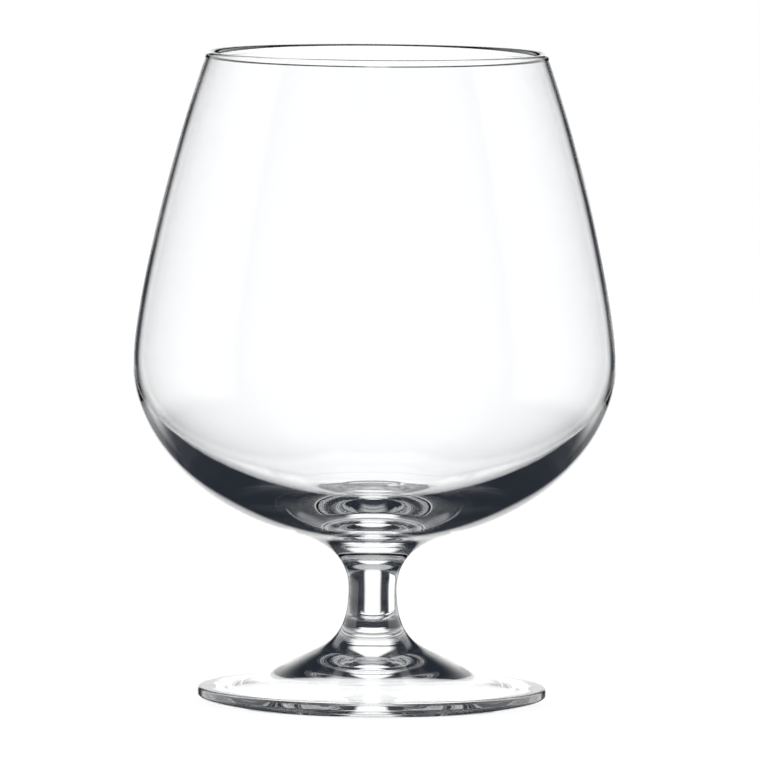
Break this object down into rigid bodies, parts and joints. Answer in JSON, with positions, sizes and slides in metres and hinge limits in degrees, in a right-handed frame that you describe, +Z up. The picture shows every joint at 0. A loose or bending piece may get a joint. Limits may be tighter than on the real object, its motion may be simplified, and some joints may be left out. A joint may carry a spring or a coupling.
{
  "type": "brandy snifter",
  "caption": "Clear stemmed drinking glass with a wide round bowl narrowing to a beaded lip, a short waisted stem and a disc foot that stands on a ring.",
  "frame": {"origin": "centre of the circle that the glass stands on, under the middle of the foot", "axes": "+Z up along the axis that the whole glass is turned about; X and Y are any two level directions"},
  "size_m": [0.1, 0.1, 0.1344],
  "materials": {
    "clear_glass": "clear, colourless, fire-polished soda-lime glass with a faint cool grey where it is thick"
  },
  "bodies": {
    "root": {"bowl": "clear_glass", "stem": "clear_glass", "foot": "clear_glass"}
  },
  "joints": []
}
